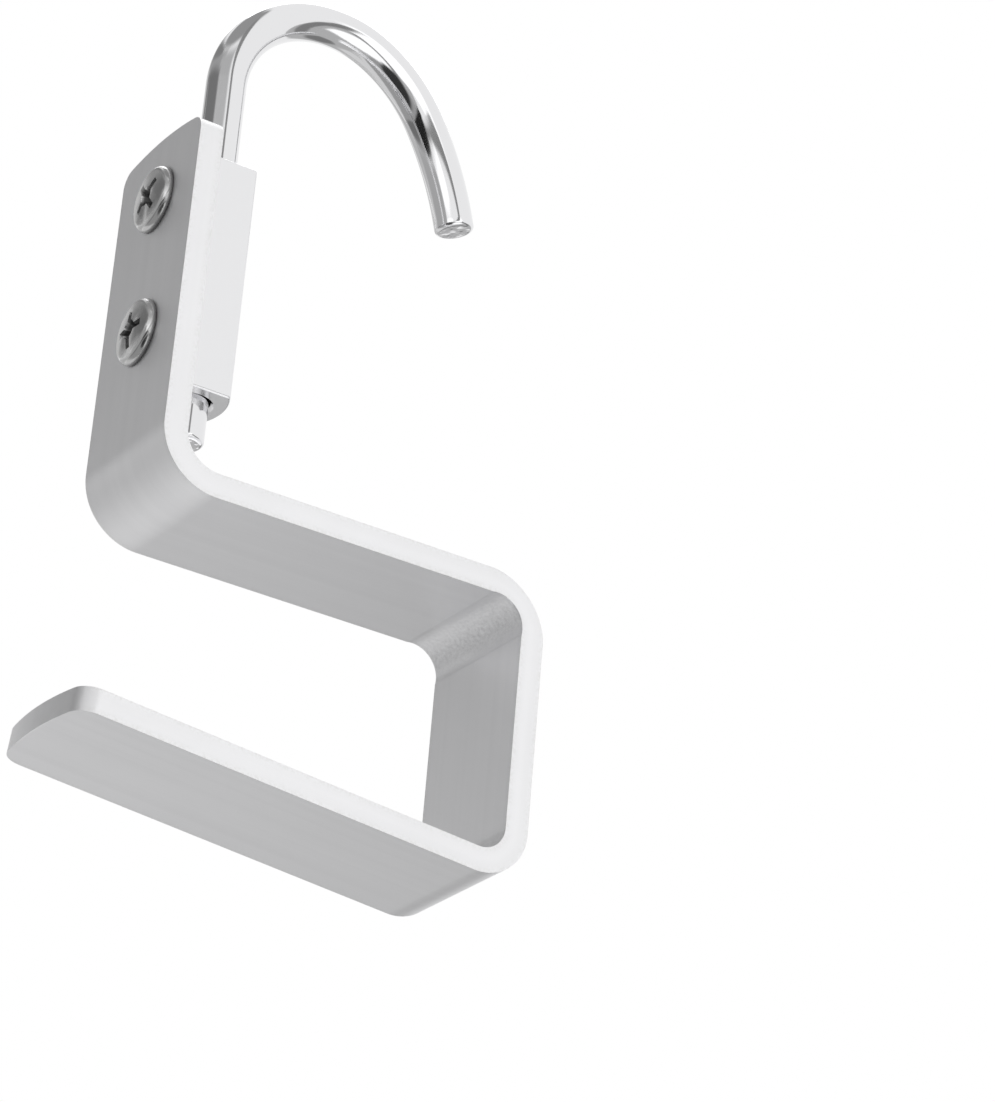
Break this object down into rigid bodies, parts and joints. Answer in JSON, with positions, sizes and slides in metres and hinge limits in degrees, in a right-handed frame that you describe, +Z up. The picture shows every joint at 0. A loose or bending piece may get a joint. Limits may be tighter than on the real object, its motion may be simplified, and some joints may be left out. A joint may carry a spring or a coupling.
{
  "type": "purse hook",
  "caption": "Purse hook for a closet rail: a bent flat bar with an open bay for bag handles, clamped by screws to a round rod hook that swivels.",
  "frame": {"origin": "point on the underside of the rod's arch that rests on the rail", "axes": "+Z up as it hangs, +X along the arms from the upper leg towards the closed end of the bag bay, Y across the bar"},
  "size_m": [0.076, 0.025, 0.1418],
  "materials": {
    "chromed_rod": "polished chrome plating",
    "satin_bar": "fine satin grain",
    "clamp_block": "plain satin",
    "screws": "bright nickel plating"
  },
  "bodies": {
    "rod": {"rod_hook": "chromed_rod"},
    "frame": {"strap_frame": "satin_bar", "clamp_block": "clamp_block", "clamp_screw_upper": "screws", "clamp_screw_lower": "screws"}
  },
  "joints": [
    {"name": "rod_swivel", "type": "hinge", "parent": "rod", "child": "frame", "pos_m": [-0.0179, 0, -0.05067], "axis": [0, 0, 1], "continuous": true}
  ]
}
